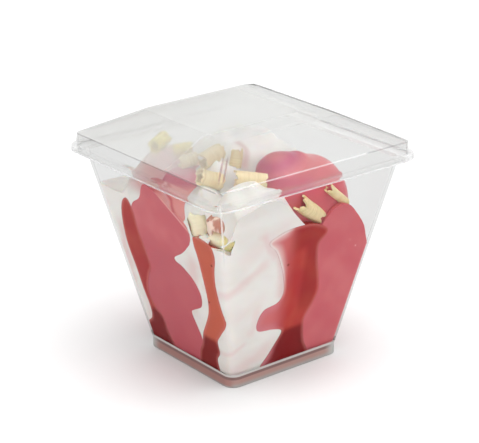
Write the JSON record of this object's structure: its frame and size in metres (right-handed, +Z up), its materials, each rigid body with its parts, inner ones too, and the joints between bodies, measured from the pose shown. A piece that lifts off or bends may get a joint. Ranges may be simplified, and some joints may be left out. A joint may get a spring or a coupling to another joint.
{
  "type": "fromage frais dessert pot",
  "caption": "Square tapered clear plastic dessert pot with a clear domed press-on lid, filled with white fromage frais, pink fruit mousse, red coulis and white chocolate curls",
  "frame": {"origin": "middle of the square foot, on the surface that the pot stands on", "axes": "+Z up, X and Y along the sides of the square pot; the picture looks at the corner between the -X and the -Y side"},
  "size_m": [0.0866, 0.0866, 0.0881],
  "materials": {
    "clear_plastic": "clear, colourless moulded plastic, glossy",
    "clear_sheet": "clear, colourless formed plastic sheet, glossy, slightly hazy",
    "fromage_frais": "smooth wet white dairy filling with faint pink swirls",
    "pink_mousse": "smooth pink fruit mousse, slightly glossy",
    "red_coulis": "deep red fruit sauce, glossy and slightly see-through",
    "white_chocolate": "cream white chocolate, waxy, with brushed scrape lines"
  },
  "bodies": {
    "root": {"pot": "clear_plastic", "lid": "clear_sheet", "fromage_frais": "fromage_frais", "coulis_left": "red_coulis", "coulis_corner": "red_coulis", "coulis_front": "red_coulis", "coulis_back": "red_coulis", "coulis_right": "red_coulis", "mousse_left": "pink_mousse", "mousse_right": "pink_mousse", "mousse_mound": "pink_mousse", "mousse_back": "pink_mousse", "curl_tube": "white_chocolate", "curl_tall": "white_chocolate", "curl_right": "white_chocolate", "curl_upright": "white_chocolate", "curl_left": "white_chocolate", "curl_far": "white_chocolate", "curl_far_small": "white_chocolate", "curl_wall": "white_chocolate", "curl_corner": "white_chocolate", "curl_star": "white_chocolate", "curl_small": "white_chocolate"}
  },
  "joints": []
}
